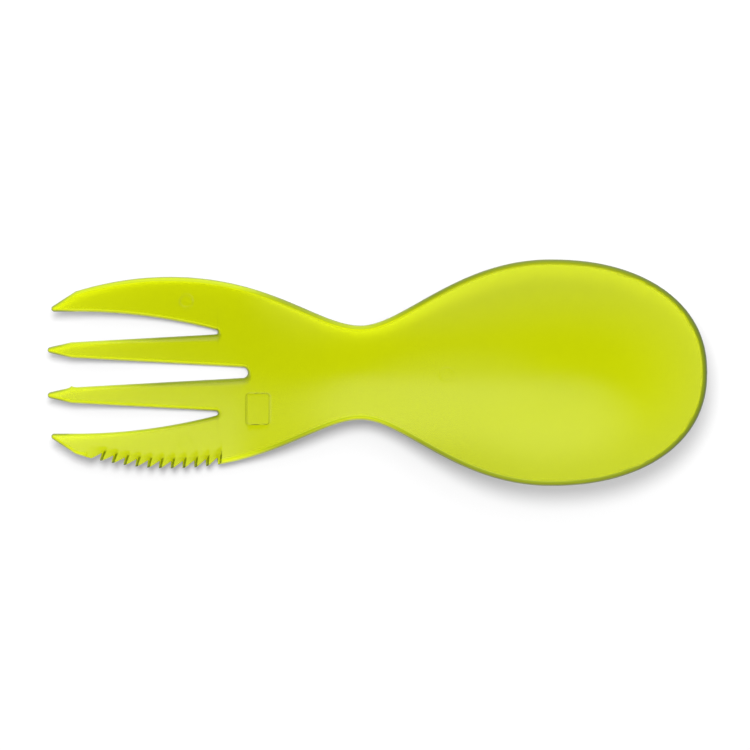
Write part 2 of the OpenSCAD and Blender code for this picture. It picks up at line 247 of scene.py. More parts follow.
# %% Saw teeth
teeth, tooth_pitch, tooth_depth, saw_heel = 10, 2.51, 1.5, 36.2
blade_width, blade_edge, tooth_slant = 2.4, 1.3, 0.5
tooth_face, tooth_round, tooth_rake = 0.3, 0.28, 0.23
first_lead, tooth_point = 0.55, 0.15
groove_reach, heel_ledge, bevel_lead = 2.6, 0.3, 1.5
saw_wave = math.sqrt((tooth_depth + tooth_round) ** 2 - tooth_round**2)
x_saw = x_tips + saw_heel
x_saw_start = x_saw - (teeth + 1) * tooth_pitch
NUDGE = 1e-6


def saw_run(x):
    """Distance from the last tooth point, within one pitch."""
    return np.mod(x - x_saw_start + NUDGE, tooth_pitch) - NUDGE


def saw_cut(x):
    run = np.maximum(saw_run(x), 0)
    lead = np.where(x < x_saw_start + tooth_pitch - NUDGE, first_lead, tooth_point)
    back = np.maximum(run - lead, 0) / (tooth_pitch - tooth_face - lead)
    wave = np.minimum(back, (tooth_pitch - run) / tooth_face)
    cut = np.sqrt((saw_wave * wave) ** 2 + tooth_round**2) - tooth_round
    return np.where((x <= x_saw_start) | (x >= x_saw), 0, cut)


def in_saw(x):
    """1 along the saw, fading out softly before it and in one steep wall at its heel."""
    wall_foot = x_saw + heel_ledge
    before = share(x, x_saw_start - bevel_lead, x_saw_start)
    after = share(x, wall_foot + tooth_slant, wall_foot)
    return np.minimum(smooth(before), after)


print(f"{teeth} teeth, {tooth_pitch} mm apart, from x = {x_saw_start:.1f} to {x_saw:.1f} mm")

# %% [markdown]
# ## The trough
#
# Across, the eating side is a parabola; along, its keel lies low in the bowl and the palm of the fork and
# arches up at the waist and at the tips. In the nose the keel rises just enough to keep the rim level. The
# underside follows at the wall's thickness, measured square to the surface, and two small flats let the
# piece lie still on a table.

# %% Heights of the skin
bowl_curve, waist_curve, fork_curve = (
    bowl_depth / bowl_half**2,
    waist_depth / waist_half**2,
    fork_depth / fork_half**2,
)


def keel(x):
    return np.select(
        [x >= x_bowl, x >= x_waist, x >= x_palm],
        [
            bowl_curve * (bowl_half**2 - nose_half(x) ** 2),
            waist_lift * smooth(share(x, x_bowl, x_waist)),
            waist_lift * smooth(share(x, x_palm, x_waist)),
        ],
        tine_lift * share(x, x_palm, x_tips) ** 2,
    )


def trough(x):
    towards_bowl = mix(waist_curve, bowl_curve, smooth(share(x, x_waist, x_bowl)))
    towards_fork = mix(waist_curve, fork_curve, smooth(share(x, x_waist, x_palm)))
    return np.where(x >= x_waist, towards_bowl, towards_fork)


def eating_side(x, y):
    return wall - rest_cut + keel(x) + trough(x) * y**2


PROBE = 0.005


def slope(f, x):
    return (f(x + PROBE) - f(x - PROBE)) / (2 * PROBE)


def steepness(x, y):
    along = slope(lambda v: eating_side(v, y), x)
    return np.hypot(along, 2 * trough(x) * y)


def thickness(x):
    return mix(tip_wall, wall, share(x, x_tips, x_middle_root))


print(f"rim of the bowl, before rounding: {eating_side(x_bowl, bowl_half):.1f} mm above the table")

# %% [markdown]
# ## The edges
#
# The rim is rounded over, because lips touch it, and the sides of the slots are rounded a little less,
# apart from the sides that face +Y, which slope away more and more towards their roots. The underside
# only has a small round, where the two halves of the mould meet. Each profile on the eating side is the
# share of the wall's full thickness that is left at a distance d from the edge.

# %% Edge profiles
edge_land, under_round = 0.3, 0.3
edge_round, slot_round = 1.05, 0.6
wide_round, knife_round, narrow_round = 1.6, 1.1, 0.35
TURN_START, TINY = -0.2, 1e-9


def rounded_share(d, width):
    return mix(edge_land / wall, 1, np.sqrt(1 - (1 - share(d, 0, width)) ** 2))


def rim_round(x):
    """Width of the rim's rounding, which narrows from the fork's widest point to the tips."""
    return mix(slot_round, edge_round, share(x, x_tips, x_fork))


def under_lift(d):
    return under_round * (1 - np.sqrt(1 - (1 - share(d, 0, under_round)) ** 2))


def gap(f, x, y):
    """Distance from a point to the curve y = f(x), taken square to the curve."""
    return np.abs(f(x) - y) / np.sqrt(1 + slope(f, x) ** 2)


def middle_root_gap(x, y):
    return np.maximum(0, np.hypot(x - x_middle_round, y) - middle_root_radius)


def outer_root_gap(x, y):
    return np.maximum(0, np.hypot(x - x_outer_round, y - y_outer_root) - outer_root_radius)


def slot_form(x, y, x_centre, y_centre, widest, side):
    """Width of the rounding along a slot, and how far round its root a point lies.

    side is -1 on the knife's side.
    """
    dx, dy = np.maximum(x - x_centre, 0), side * (y - y_centre)
    reach = np.maximum(np.hypot(dx, dy), TINY)
    sloping = mix(narrow_round, widest, share(x, x_tips + inner_point, x_outer_root))
    return mix(slot_round, sloping, smooth(share(-dy / reach, TURN_START, 1))), dx / reach


def middle_form(x, y, side):
    return slot_form(x, y, x_middle_round, 0, wide_round, side)


def outer_form(x, y, side):
    widest = wide_round if side > 0 else knife_round
    return slot_form(x, y, x_outer_round, y_outer_root, widest, side)


print(f"rim of the bowl is rounded over {rim_round(x_bowl):.2f} mm, slots over {slot_round:.1f} mm")

# %% [markdown]
# ## Painted shade at the edges
#
# From above, the eye looks through the broad faces, but along the wall at a steep rim and round the
# points of the tines, where the dyed plastic looks darker. Beside the slot sides that face the lamp it sees
# the table's shade through the plastic, and the slot roots are darker too. Tracing rays through thick glass
# could show that, but it is slow and grainy. Here each point gets a painted shade from 0 to 1 instead, with
# a painted shaded line along the rim on the lamp's side, and a share that is 1 on the rounding of an edge.
# The plastic reads both further down.

# %% Painted shade at the edges
RIM_SHADE, RIM_LINE, RIM_LINE_SHADE = 2.5, 0.3, 0.55
STEEP_RIM, NOSE_SLOPE, FLANK_SHADE = (0.3, 0.8), 0.6, 0.82
SLOT_SHADE, ROOT_SHADE = 0.64, 0.7
POINT_SHADE, POINT_LINE = 0.75, 0.5
EDGE_FADE = 0.08


def edge_share(d, width):
    """1 on the rounding, 0 on the broad faces."""
    return share(d, width + EDGE_FADE, width - EDGE_FADE)


# Painted shade: darker where the eye looks along a steep rim, and a painted shaded line along the rim on the
# lamp's (+Y) side.
def rim_painted_shade(x, y, d_rim):
    """Painted shade at a steep rim, most at the nose, with a painted shaded line on the lamp side."""
    nose = mix(FLANK_SHADE, 1, share(slope(lambda v: eating_side(v, y), x), 0, NOSE_SLOPE))
    steep = smooth(share(steepness(x, y), *STEEP_RIM))
    band = (1 - share(d_rim, 0, RIM_SHADE)) * steep * nose * edge_share(d_rim, rim_round(x))
    return np.maximum(band, RIM_LINE_SHADE * (y > 0) * (1 - share(d_rim, 0, RIM_LINE)))


# Painted shadow: the table's shade seen through the plastic beside slot sides facing the lamp, and painted
# shade at slot roots.
def slot_painted_shade(d, width, root):
    """Painted shade by a slot: a painted shadow beside its sides that face the lamp, and at its root."""
    side_shade = SLOT_SHADE * (1 - share(d, 0, width) ** 2) * share(width, slot_round, knife_round)
    return np.maximum(side_shade, ROOT_SHADE * root * (1 - share(d, 0, slot_round) ** 2))


# Painted shade along the outline of each tine's point.
def point_painted_shade(x, d, tip, length):
    """Painted shade round the point of a tine: most along its outline."""
    return POINT_SHADE * (1 - share(d, 0, POINT_LINE)) * (1 - share(x, tip + length / 2, tip + length))


bowl_side_shade, nose_shade = rim_painted_shade(x_bowl, -bowl_half, 0.0), rim_painted_shade(x_nose, 0.0, 0.0)
print(f"depth at the bowl's side {bowl_side_shade:.2f}, at its nose {nose_shade:.2f}")

# %% [markdown]
# ## Rows and columns
#
# The mesh is a net of rows across the object and columns along it, so that its faces are neat quads that
# follow the form. Four strips of columns, one per tine, run on through the palm, the waist and the bowl.
# Columns crowd where an edge turns and rows crowd where a slot ends. Each net holds, for every point, its
# place, the share of the wall's thickness on the eating side, the lift of the underside, the painted shade
# there, and the share that is 1 on the rounding of an edge.

# %% Columns across a strip
EDGE_CELLS, INNER_CELLS = 10, 5
BAND_REACH, BAND_SHARE, COLUMN_FADE = 1.5, 0.45, 12


def crowded(start, end, cells):
    """Places from start to end that crowd at the start."""
    return start + (end - start) * (1 - np.cos(np.linspace(0, math.pi / 2, cells + 1)))


def strip(low, high, low_band, high_band):
    width = high - low
    low_band, high_band = min(low_band, BAND_SHARE * width), min(high_band, BAND_SHARE * width)
    first = crowded(low, low + low_band, EDGE_CELLS)
    last = crowded(high, high - high_band, EDGE_CELLS)[::-1]
    middle = np.linspace(first[-1], last[0], INNER_CELLS + 1)
    return np.concatenate([first[:-1], middle, last[1:]])


def open_strip(low, high, high_band):
    """A strip whose low side is no edge, so only its high side is crowded."""
    last = crowded(high, high - high_band, EDGE_CELLS)[::-1]
    return np.concatenate([np.linspace(low, last[0], EDGE_CELLS + INNER_CELLS + 1), last[1:]])


def slant(f, x):
    return math.sqrt(1 + float(slope(f, x)) ** 2)


def body_columns(x, edge, band):
    """Half a row of the body: the columns fade from the fork's crowding to an even spread."""
    split = edge * y_outer_root / float(half_width(x_middle_root))
    root_band = BAND_REACH + middle_root_radius
    near_inner = strip(0, split, root_band, BAND_REACH)
    near_outer = strip(split, edge, BAND_REACH, band)
    far_inner = np.linspace(0, split, len(near_inner))
    far_outer = open_strip(split, edge, band)
    fade = smooth(share(x, x_middle_root, x_middle_root + COLUMN_FADE))
    return np.concatenate([mix(near_inner, far_inner, fade)[:-1], mix(near_outer, far_outer, fade)])


print("columns across the body:", 2 * len(body_columns(x_bowl, bowl_half, BAND_REACH)) - 1)


# %% Rows of the body and the nose
ROOT_ROWS, NOSE_ROWS, BODY_STEP = 8, 44, 0.8


def spaced(*stops):
    """Places through a list of (place, step to the next place) pairs."""
    places = []
    for (start, step), (end, _) in zip(stops, stops[1:]):
        places.append(np.linspace(start, end, max(1, round(abs(end - start) / step)) + 1)[:-1])
    return np.concatenate(places + [[stops[-1][0]]])


def mirrored(half):
    return np.concatenate([-half[:0:-1], half])


def finish_net(x, y, d_rim, *slots, point=None):
    """Adds the heights and painted shades to a net. Each slot is a distance and its form there."""
    upper, d_edge = rounded_share(d_rim, rim_round(x)), d_rim
    painted_shade, edge = rim_painted_shade(x, y, d_rim), edge_share(d_rim, rim_round(x))
    for d, (width, root) in slots:
        upper, d_edge = np.minimum(upper, rounded_share(d, width)), np.minimum(d_edge, d)
        painted_shade = np.maximum(painted_shade, slot_painted_shade(d, width, root))
        edge = np.maximum(edge, edge_share(d, slot_round))
    if point:
        painted_shade = np.maximum(painted_shade, point_painted_shade(x, d_edge, *point))
    return x, y, upper, under_lift(d_edge), painted_shade, edge


root_rows = crowded(x_middle_root, x_middle_root + BAND_REACH, ROOT_ROWS)
body_rows = np.concatenate([root_rows[:-1], spaced((root_rows[-1], BODY_STEP), (x_bowl, BODY_STEP))])


def body_net():
    rows = []
    for x in body_rows:
        edge = float(half_width(x))
        rows.append(mirrored(body_columns(x, edge, BAND_REACH * slant(half_width, x))))
    y = np.array(rows)
    x = np.repeat(body_rows[:, None], y.shape[1], axis=1)
    middle_slot = (middle_root_gap(x, y), middle_form(x, y, 1))
    return finish_net(x, y, gap(half_width, x, np.abs(y)), middle_slot)


NOSE_MIDDLE_SHARE = 0.5


def nose_net():
    """Rows that start straight across the bowl and end along its rounded tip."""
    v = mirrored(body_columns(x_bowl, bowl_half, BAND_REACH))[None, :] / bowl_half
    rim = BAND_REACH / bowl_nose
    inside = np.linspace(0, 1 - rim, NOSE_ROWS)[:-1]
    s = np.concatenate([inside, crowded(1, 1 - rim, EDGE_CELLS)[::-1]])[:, None]
    disc_x, disc_y = s * np.sqrt(1 - v**2 / 2), v * np.sqrt(1 - s**2 / 2)
    reach = (np.abs(disc_x) ** NOSE_EXPONENT + np.abs(disc_y) ** NOSE_EXPONENT) ** (1 / NOSE_EXPONENT)
    pull = np.hypot(disc_x, disc_y) / np.maximum(reach, TINY)
    u, w = disc_x * pull, disc_y * pull
    f = np.hypot(disc_x, disc_y)
    n = NOSE_EXPONENT - 1
    steep = np.hypot(np.abs(u) ** n / bowl_nose, np.abs(w) ** n / bowl_half)
    d = np.maximum(0, 1 - f) * f**n / np.maximum(steep, TINY)
    x, y = x_bowl + bowl_nose * u, bowl_half * w
    return finish_net(x, y, np.where(f < NOSE_MIDDLE_SHARE, bowl_half, d))


print("rows of the body:", len(body_rows))

# %% [markdown]
# The tines get a net each, from the tip to the root of the middle slot. Near the roots all four share the
# same rows, so that their nets meet point to point and can be welded. Only the knife tine has more rows
# there, for the heel of its saw. The small nub on one inner tine is the trace of the gate, where the
# plastic was let into the mould.

# %% Rows of the tines
SLOT_ROWS, BETWEEN_ROWS, TIP_ROWS = 6, 7, 8
TIP_STEP, TINE_STEP, TIP_START_SHARE = 0.25, 0.6, 0.03
shared_rows = np.concatenate(
    [
        crowded(x_outer_root, x_outer_round, SLOT_ROWS)[:0:-1],
        crowded(x_outer_root, x_outer_root + BAND_REACH, ROOT_ROWS)[:-1],
        np.linspace(x_outer_root + BAND_REACH, x_middle_round, BETWEEN_ROWS)[:-1],
        crowded(x_middle_root, x_middle_round, ROOT_ROWS)[::-1],
    ]
)
gate_x, gate_height, gate_half_length = -64.9, 0.3, 0.45


def gate_nub(x):
    return gate_height * np.exp(-(((x - gate_x) / gate_half_length) ** 2))


def gated_low(x):
    return inner_low(x) - gate_nub(x)


def tip_rows(tip, point):
    start, shoulder = tip + TIP_START_SHARE * tip_radius, tip + tip_radius
    slanting = spaced((shoulder, TIP_STEP), (tip + point, TIP_STEP))
    return np.concatenate([crowded(start, shoulder, TIP_ROWS)[:-1], slanting[:-1]])


def plain_rows(tip, point):
    """Rows of a tine without teeth."""
    sides = spaced((tip + point, TINE_STEP), (x_outer_round, TINE_STEP))
    return np.concatenate([tip_rows(tip, point), sides[:-1], shared_rows])


def tine_net(rows, low, high, low_gap, high_gap, side, outer):
    lines = []
    for x in rows:
        a, b = float(low(x)), float(high(x))
        low_band, high_band = BAND_REACH * slant(low, x), BAND_REACH * slant(high, x)
        if x >= x_middle_root - TINY:
            half = body_columns(x, float(half_width(x)), BAND_REACH * slant(half_width, x))
            cells = 2 * EDGE_CELLS + INNER_CELLS
            lines.append(half[cells:] if outer else half[: cells + 1])
        else:
            root_band = BAND_REACH + middle_root_radius * float(share(x, x_middle_round, x_middle_root))
            lines.append(strip(a, b, low_band if outer else max(low_band, root_band), high_band))
    y = np.array(lines)
    x = np.repeat(rows[:, None], y.shape[1], axis=1)
    outer_slot_form = outer_form(x, y, side)
    if outer:
        point = (x_outer_tip, outer_point)
        return finish_net(x, y, high_gap(x, y), (low_gap(x, y), outer_slot_form), point=point)
    slots = (low_gap(x, y), middle_form(x, y, side)), (high_gap(x, y), outer_slot_form)
    return finish_net(x, y, np.full_like(x, bowl_half), *slots, point=(x_tips, inner_point))


def inner_net(low, side):
    return tine_net(
        plain_rows(x_tips, inner_point),
        low,
        inner_high,
        lambda x, y: np.where(x > x_middle_round, middle_root_gap(x, y), gap(low, x, y)),
        lambda x, y: np.where(x > x_outer_round, outer_root_gap(x, y), gap(inner_high, x, y)),
        side,
        outer=False,
    )


def outer_low_gap(x, y):
    return np.where(x > x_outer_round, outer_root_gap(x, y), gap(outer_low, x, y))


def plain_net():
    rows = plain_rows(x_outer_tip, outer_point)
    return tine_net(
        rows, outer_low, outer_high, outer_low_gap, lambda x, y: gap(outer_high, x, y), 1, outer=True
    )


print("rows near the roots:", len(shared_rows))


# %% [markdown]
# The knife tine is a net of the same kind, with rows at every tooth: they crowd at the tooth's point and in
# the groove, where the form turns quickly. A boolean cut would make the teeth as well, but it leaves long
# thin faces that catch the light. Moving the points of the net keeps its faces neat.

# %% The knife tine
TOOTH_ROWS = np.array([0, 0.1, 0.2, 0.3, 0.4, 0.5, 0.7, 1.0, 1.35, 1.7, 2.0, 2.2, 2.32, 2.39, 2.45])
KNIFE_STEP, LEAD_ROWS, HEEL_ROWS, ROW_CLEARANCE = 0.5, 6, 6, 0.02
GROOVE_HOLLOW, GROOVE_GROWTH, LEAN_FADE = 3, 1.5, 2.5


def knife_rows():
    saw = (x_saw_start + np.arange(teeth + 1)[:, None] * tooth_pitch + TOOTH_ROWS[None, :]).ravel()
    before = spaced((x_outer_tip + outer_point, KNIFE_STEP), (x_saw_start - bevel_lead, KNIFE_STEP))
    lead = np.linspace(x_saw_start - bevel_lead, x_saw_start, LEAD_ROWS)[1:-1]
    heel_wall = heel_ledge + np.linspace(0, tooth_slant, HEEL_ROWS)
    heel = x_saw + np.concatenate([[0, heel_ledge / 2], heel_wall])
    rows = np.concatenate([tip_rows(x_outer_tip, outer_point), before, lead, saw])
    near_root = np.sort(np.concatenate([shared_rows, heel]))
    return np.concatenate([rows[rows < near_root[0] - ROW_CLEARANCE], near_root])


def blade_share(x, d):
    """Share of the thickness on the blade: a bevel, sunk by a groove before each steep face."""
    bevel = mix(blade_edge / wall, 1, share(d, 0, blade_width))
    groove = np.minimum(bevel, mix(edge_land / wall, 1, share(d, 0, groove_reach) ** GROOVE_HOLLOW))
    run = np.maximum(saw_run(x), 0)
    growing = share(run, tooth_slant, tooth_pitch) ** GROOVE_GROWTH
    sunk = np.maximum(share(run, tooth_slant, 0), growing)
    sunk = np.select([x < x_saw_start + tooth_slant, x > x_saw], [0, 1], sunk)
    return mix(bevel, groove, sunk)


def knife_net():
    rows = knife_rows()
    lines = []
    for x in rows:
        if x >= x_middle_root - TINY:
            half = body_columns(x, float(half_width(x)), BAND_REACH * slant(half_width, x))
            line = half[2 * EDGE_CELLS + INNER_CELLS :]
        else:
            low, side, saw = float(outer_low(x)), float(outer_high(x)), float(in_saw(x))
            edge = side - float(saw_cut(x))
            plain_band = BAND_REACH * slant(outer_high, x)
            band = mix(plain_band, blade_width - (side - edge), saw)
            line = strip(low, edge, BAND_REACH * slant(outer_low, x), band)
            even = np.linspace(edge - min(band, BAND_SHARE * (edge - low)), edge, EDGE_CELLS + 1)
            line[-EDGE_CELLS - 1 :] = mix(line[-EDGE_CELLS - 1 :], even, saw)
        lines.append(line)
    y = np.array(lines)
    x = np.repeat(rows[:, None], y.shape[1], axis=1)
    d = gap(outer_high, x, y)
    ends = np.minimum(share(x, x_saw_start - LEAN_FADE, x_saw_start), share(x, x_saw + LEAN_FADE, x_saw))
    inward = 1 - share(d, groove_reach, groove_reach + LEAN_FADE)
    rake = tooth_rake + slope(outer_high, x)
    lean = rake * np.minimum(d, groove_reach) * smooth(inward) * smooth(ends)
    low_gap, saw = outer_low_gap(x, y), in_saw(x)
    low_width, root = outer_form(x, y, -1)
    plain = rounded_share(d, rim_round(x))
    upper = np.minimum(mix(plain, blade_share(x, d), saw), rounded_share(low_gap, low_width))
    lift = under_lift(np.minimum(d, low_gap)) * (1 - saw)
    painted_shade = np.maximum(rim_painted_shade(x, -y, d) * (1 - saw), slot_painted_shade(low_gap, low_width, root))
    painted_shade = np.maximum(painted_shade, point_painted_shade(x, np.minimum(d, low_gap), x_outer_tip, outer_point))
    edge = np.maximum(edge_share(d, rim_round(x)) * (1 - saw), edge_share(low_gap, slot_round))
    return x + lean, y, upper, lift, painted_shade, edge


print("rows of the knife tine:", len(knife_rows()))

# %% [markdown]
# ## From nets to one closed mesh
#
# The six nets are laid side by side as a flat sheet and welded where their points coincide. Two copies of
# the sheet, one lifted to the eating side and one to the underside, are then joined along the sheet's
# border by a narrow strip. That gives one body without an open border. It has one flaw: the knife tine's
# rows for the heel of its saw have no partners in the net beside it, so a slit of no width, 0.9 mm long,
# stays between the two nets at the root of their slot. The same rows in both nets would close it.

# %% Weld the nets
WELD_DIGITS = 4
moulding_mesh = bpy.data.meshes.new("lime_spork")
sheet = bmesh.new()
upper_layer = sheet.verts.layers.float.new("upper")
lift_layer = sheet.verts.layers.float.new("lift")
# This layer carries the painted shade of the rim, the slots and the tine points.
painted_shade_layer = sheet.verts.layers.float.new("painted_edge_shade")
edge_layer = sheet.verts.layers.float.new("edge")
by_place = {}


def lay(net, side=1):
    """Adds a net to the sheet. side is -1 for a net that is mirrored to the knife's side."""
    x, y, upper, lift, painted_shade, edge = net
    names = np.empty(x.shape, object)
    for i, j in np.ndindex(x.shape):
        place = (round(float(x[i, j]), WELD_DIGITS), round(side * float(y[i, j]), WELD_DIGITS))
        if place not in by_place:
            vert = sheet.verts.new((place[0], place[1], 0))
            vert[upper_layer], vert[lift_layer] = float(upper[i, j]), float(lift[i, j])
            vert[painted_shade_layer], vert[edge_layer] = float(painted_shade[i, j]), float(edge[i, j])
            by_place[place] = vert
        names[i, j] = by_place[place]
    for i in range(x.shape[0] - 1):
        for j in range(x.shape[1] - 1):
            corners = [names[i, j], names[i + 1, j], names[i + 1, j + 1], names[i, j + 1]]
            ring = list(dict.fromkeys(corners if side > 0 else corners[::-1]))
            if len(ring) > 2:
                sheet.faces.new(ring)


lay(body_net())
lay(nose_net())
lay(plain_net())
lay(inner_net(inner_low, 1))
lay(inner_net(gated_low, -1), side=-1)
lay(knife_net(), side=-1)
print("sheet:", len(sheet.verts), "points,", len(sheet.faces), "faces")

# %% [markdown]
# ## Moulding marks
#
# Where pins push the part out of its mould they leave faint rings, and one mould insert leaves a small
# plain frame on the palm. They are about 0.1 to 0.2 mm high. A bump in the material would be missing from
# the mesh, so the sheet is divided more finely just there before it is lifted.

# %% Rings and frame
RINGS = [(-40.6, 15.2, 0.15), (-40.7, -14.9, 0.08), (14.8, -0.4, 0.1)]
RING_RADIUS, FRAME_HEIGHT, MARK_HALF_WIDTH, MARK_REACH = 1.4, 0.2, 0.18, 0.75
FRAME_CENTRE, FRAME_HALF, FRAME_CORNER = (-25.3, -7.8), (2.5, 3.3), 0.7


def frame_gap(x, y):
    """Signed distance from the frame's rounded rectangle."""
    dx = abs(x - FRAME_CENTRE[0]) - FRAME_HALF[0] + FRAME_CORNER
    dy = abs(y - FRAME_CENTRE[1]) - FRAME_HALF[1] + FRAME_CORNER
    return math.hypot(max(dx, 0), max(dy, 0)) + min(max(dx, dy), 0) - FRAME_CORNER


def mark_gaps(x, y):
    """Distance from each mark's line, with the mark's height."""
    rings = [(math.hypot(x - cx, y - cy) - RING_RADIUS, height) for cx, cy, height in RINGS]
    return rings + [(frame_gap(x, y), FRAME_HEIGHT)]


def mark_height(x, y):
    return max(height * max(0, 1 - (off / MARK_HALF_WIDTH) ** 2) for off, height in mark_gaps(x, y))


def near_mark(face):
    centre = face.calc_center_median()
    return min(abs(off) for off, _ in mark_gaps(centre.x, centre.y)) < MARK_REACH


for cuts in (1, 2):
    fine = {edge for face in sheet.faces if near_mark(face) for edge in face.edges}
    bmesh.ops.subdivide_edges(sheet, edges=list(fine), cuts=cuts, use_grid_fill=True)
print("sheet with marks:", len(sheet.verts), "points,", len(sheet.faces), "faces")

# %% [markdown]
# Now the sheet becomes a body. Its painted shades and edge shares stay with the points of the eating side,
# and the underside gets zeros, because from above it is seen only through the plastic.

# %% Lift the two sides and close the border
sheet.verts.index_update()
places = np.array([v.co[:] for v in sheet.verts])
upper = np.array([v[upper_layer] for v in sheet.verts])
lift = np.array([v[lift_layer] for v in sheet.verts])
painted_shade = np.array([v[painted_shade_layer] for v in sheet.verts])
edge_shares = np.array([v[edge_layer] for v in sheet.verts])
px, py = places[:, 0], places[:, 1]
full = thickness(px) * np.sqrt(1 + steepness(px, py) ** 2)
under = eating_side(px, py) - full
marks = np.array([mark_height(x, y) for x, y in zip(px, py)])
top_z = under + full * upper + marks
low_z = np.maximum(under + lift, 0)
count = len(places)
points = np.concatenate([np.column_stack([px, py, top_z]), np.column_stack([px, py, low_z])]) * MM

faces = []
for face in sheet.faces:
    ring = [v.index for v in face.verts]
    faces.append(ring)
    faces.append([i + count for i in reversed(ring)])
for edge in sheet.edges:
    if len(edge.link_faces) == 1:
        loop = edge.link_loops[0]
        a, b = loop.vert.index, loop.link_loop_next.vert.index
        faces.append([b, a, a + count, b + count])
moulding_mesh.from_pydata(points.tolist(), [], faces)
moulding_mesh.update()
# The painted shade goes to the eating side only.
for name, values in (("painted_edge_shade", painted_shade), ("edge", edge_shares)):
    layer = moulding_mesh.attributes.new(name, "FLOAT", "POINT")
    layer.data.foreach_set("value", np.concatenate([values, np.zeros(count)]))
sheet.free()
moulding_mesh.shade_smooth()
moulding = bpy.data.objects.new("lime_spork", moulding_mesh)
bpy.context.scene.collection.objects.link(moulding)

closed = bmesh.new()
closed.from_mesh(moulding_mesh)
open_edges = sum(len(e.link_faces) < 2 for e in closed.edges)
crowded_edges = sum(len(e.link_faces) > 2 for e in closed.edges)
print("moulding:", len(closed.verts), "points,", len(closed.faces), "faces")
print(open_edges, "open edges,", crowded_edges, "edges with more than two faces, at the slit")
print(f"volume {closed.calc_volume() / MM**3:.0f} mm3")
closed.free()

# %% [markdown]
# ## The plastic
#
# The real material is a translucent copolymer, dyed lime and injection moulded against satin steel. On the
# broad faces the eye sees the table through it, tinted, with a soft gloss on top. Steep walls get a darker
# painted shade. The rounded edges are duller, and their colour is painted light and shade: a painted glow on
# the side away from the lamp, darker on the side facing it, and painted olive shade where the eye looks
# along the wall. All of this is one material that reads the painted shade and the edge share of each point,
# because two materials on separate faces would leave a jagged border between them. The real satin is too
# fine to show, so its grain is drawn coarser, on roughness and bump.


# %% Colours and a node helper
# The first two limes are the plastic's own colour, mottled at random; the third is a painted shade for steep
# walls.
LIME, LIME_DEEP, LIME_PAINTED_STEEP_SHADE = "#E4F00A", "#E1EE06", "#D4E006"
# Painted light and shade on the edges: darker on the side facing the lamp, a painted glow on the side away
# from it, and a painted olive shade.
EDGE_SHADED_LAMP_SIDE, EDGE_PAINTED_GLOW, PAINTED_SHADE_OLIVE = "#C4D400", "#F0FC00", "#405200"


def linear(hex_colour):
    """An sRGB hex colour as linear RGBA."""
    parts = [int(hex_colour[i : i + 2], 16) / 255 for i in (1, 3, 5)]
    return tuple(c / 12.92 if c <= 0.04045 else ((c + 0.055) / 1.055) ** 2.4 for c in parts) + (1.0,)


def add_node(tree, kind, settings=None, *values, **named_values):
    """One node with its settings. Its inputs, in order or by name, are set to values or linked.

    A value that is a socket is linked, and so is a node, by its first output in use.
    """
    node = tree.nodes.new(kind)
    for name, value in (settings or {}).items():
        setattr(node, name, value)
    in_use = [socket for socket in node.inputs if socket.enabled]
    by_name = [(node.inputs[name.replace("_", " ")], value) for name, value in named_values.items()]
    for socket, value in list(zip(in_use, values)) + by_name:
        if isinstance(value, bpy.types.Node):
            value = next(output for output in value.outputs if output.enabled)
        if isinstance(value, bpy.types.NodeSocket):
            tree.links.new(value, socket)
        else:
            socket.default_value = value
    return node


print("lime in linear light:", [round(c, 3) for c in linear(LIME)])

# %% Satin lime copolymer
SATIN_GRAIN_MM, SATIN_HEIGHT_MM, CLOUD_MM = 0.35, 0.02, 14.0
SOFT_RAMP, COLOUR_MIX = {"interpolation_type": "SMOOTHSTEP"}, {"data_type": "RGBA"}

plastic = bpy.data.materials.new("satin_lime_copolymer")
plastic.use_nodes = True
tree = plastic.node_tree
tree.nodes.clear()
place = add_node(tree, "ShaderNodeTexCoord").outputs["Object"]
cloud = add_node(tree, "ShaderNodeTexNoise", Vector=place, Scale=1 / (CLOUD_MM * MM), Detail=2.0)
grain = add_node(tree, "ShaderNodeTexNoise", Vector=place, Scale=1 / (SATIN_GRAIN_MM * MM), Detail=3.0)
bump = add_node(tree, "ShaderNodeBump", Height=grain, Strength=0.05, Distance=SATIN_HEIGHT_MM * MM)
normal = add_node(tree, "ShaderNodeNewGeometry").outputs["True Normal"]
facing = add_node(tree, "ShaderNodeSeparateXYZ", Vector=normal)
flatness = add_node(tree, "ShaderNodeMath", {"operation": "ABSOLUTE"}, facing.outputs["Z"])
painted_edge_shade = add_node(tree, "ShaderNodeAttribute", {"attribute_name": "painted_edge_shade"}).outputs["Fac"]
on_edge = add_node(tree, "ShaderNodeAttribute", {"attribute_name": "edge"}).outputs["Fac"]
print("grain of", SATIN_GRAIN_MM, "mm, clouds of", CLOUD_MM, "mm")

# %% Where the plastic is lit
# Painted light and shade: steep walls facing the lamp, and the painted edge shade, pull the colour to a
# painted olive shade; faces turned away from the lamp and edges stay lit.
BROAD_FLATNESS, FACE_FLATNESS, AWAY_FROM_LAMP = (0.6, 0.74), (0.7, 0.95), (-0.4, 0.0)
WALL_LIT = 0.12
broad = add_node(tree, "ShaderNodeMapRange", SOFT_RAMP, flatness, *BROAD_FLATNESS, WALL_LIT, 1.0)
level_face = add_node(tree, "ShaderNodeMapRange", SOFT_RAMP, flatness, *FACE_FLATNESS, 0.0, 1.0)
away_from_lamp = add_node(tree, "ShaderNodeMapRange", SOFT_RAMP, facing.outputs["Y"], *AWAY_FROM_LAMP, 1.0, 0.0)
lit_faces = add_node(tree, "ShaderNodeMath", {"operation": "MAXIMUM"}, broad, away_from_lamp)
lit = add_node(tree, "ShaderNodeMath", {"operation": "MAXIMUM"}, lit_faces, on_edge)
free_of_painted_shade = add_node(tree, "ShaderNodeMath", {"operation": "SUBTRACT"}, 1.0, painted_edge_shade)
painted_light = add_node(tree, "ShaderNodeMath", {"operation": "MINIMUM"}, lit, free_of_painted_shade)
print("walls darken below a flatness of", BROAD_FLATNESS[1])

